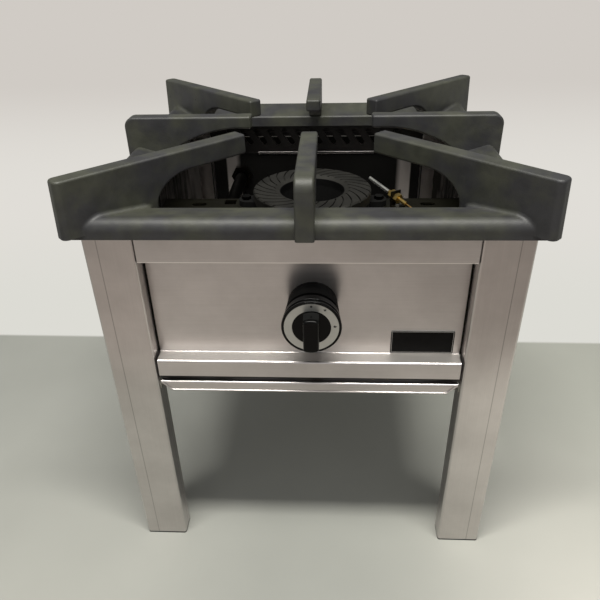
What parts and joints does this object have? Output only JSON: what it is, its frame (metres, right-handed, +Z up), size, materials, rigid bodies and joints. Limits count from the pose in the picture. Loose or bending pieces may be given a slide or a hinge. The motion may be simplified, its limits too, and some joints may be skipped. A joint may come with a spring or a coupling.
{
  "type": "stock pot range",
  "caption": "Low gas range for large stock pots: cast finger grate over a ring burner, sheet-metal legs, recessed front panel with a push-and-turn knob, slide-out drip tray.",
  "frame": {"origin": "middle of the footprint, on the floor", "axes": "+Z up; the front with the knob faces -Y; +X to the right seen from the front; the gas inlet leaves towards +Y"},
  "size_m": [0.4304, 0.482, 0.456],
  "materials": {
    "stainless": "satin stainless sheet",
    "galvanised": "zinc-plated steel, dulled by heat",
    "zinc_fasteners": "bright zinc-plated steel",
    "enamelled_iron": "matt dark grey enamel on cast iron",
    "burner_iron": "as-cast grey iron",
    "brass": "machined brass",
    "copper": "drawn copper tube",
    "black_plastic": "glossy black thermoset",
    "dial_metal": "satin silver dial",
    "glide_plastic": "black plastic glide"
  },
  "bodies": {
    "range": {"front_left_leg": "stainless", "front_right_leg": "stainless", "rear_left_leg": "stainless", "rear_right_leg": "stainless", "foot_glides": "glide_plastic", "front_rail": "stainless", "control_panel": "stainless", "left_side_panel": "stainless", "right_side_panel": "stainless", "rear_panel": "stainless", "left_tray_runner": "galvanised", "right_tray_runner": "galvanised", "runner_screws": "zinc_fasteners", "left_burner_bracket": "galvanised", "right_burner_bracket": "galvanised", "bracket_screws": "zinc_fasteners", "burner_body": "burner_iron", "burner_bolts": "zinc_fasteners", "tap_body": "brass", "tap_bonnet": "brass", "tap_screws": "zinc_fasteners", "tap_return_spring": "zinc_fasteners", "tap_magnet_unit": "galvanised", "knob_bezel": "black_plastic", "supply_pipe": "galvanised", "pipe_union": "brass", "gas_inlet": "brass", "inlet_locknut": "brass", "outlet_tube": "galvanised", "tube_nuts": "brass", "injector_holder": "brass", "injector_cage": "galvanised", "thermocouple_bracket": "galvanised", "tab_screw": "zinc_fasteners", "thermocouple_probe": "zinc_fasteners", "thermocouple_sleeve": "brass", "thermocouple_nuts": "brass", "thermocouple_lead": "copper", "lead_nut": "brass"},
    "drip_tray": {"drip_tray": "stainless"},
    "pot_grate": {"pot_grate": "enamelled_iron"},
    "burner_cap": {"burner_cap": "burner_iron"},
    "push_rod": {"tap_push_rod": "zinc_fasteners"},
    "knob": {"knob": "black_plastic", "dial_ring": "dial_metal", "tap_spindle": "zinc_fasteners"}
  },
  "joints": [
    {"name": "drip_tray_slide", "type": "slide", "parent": "range", "child": "drip_tray", "axis": [0, -1, 0], "range_m": [0, 0.4]},
    {"name": "grate_lift", "type": "slide", "parent": "range", "child": "pot_grate", "axis": [0, 0, 1], "range_m": [0, 0.15]},
    {"name": "burner_cap_lift", "type": "slide", "parent": "range", "child": "burner_cap", "axis": [0, 0, 1], "range_m": [0, 0.05]},
    {"name": "tap_push", "type": "slide", "parent": "range", "child": "push_rod", "axis": [0, 1, 0], "range_m": [0, 0.004], "stiffness_N_per_m": 600, "springref_m": -0.004, "deforming": ["tap_return_spring"]},
    {"name": "knob_turn", "type": "hinge", "parent": "push_rod", "child": "knob", "pos_m": [0.0055, -0.2, 0.323], "axis": [0, -1, 0], "range_deg": [0, 180]}
  ]
}
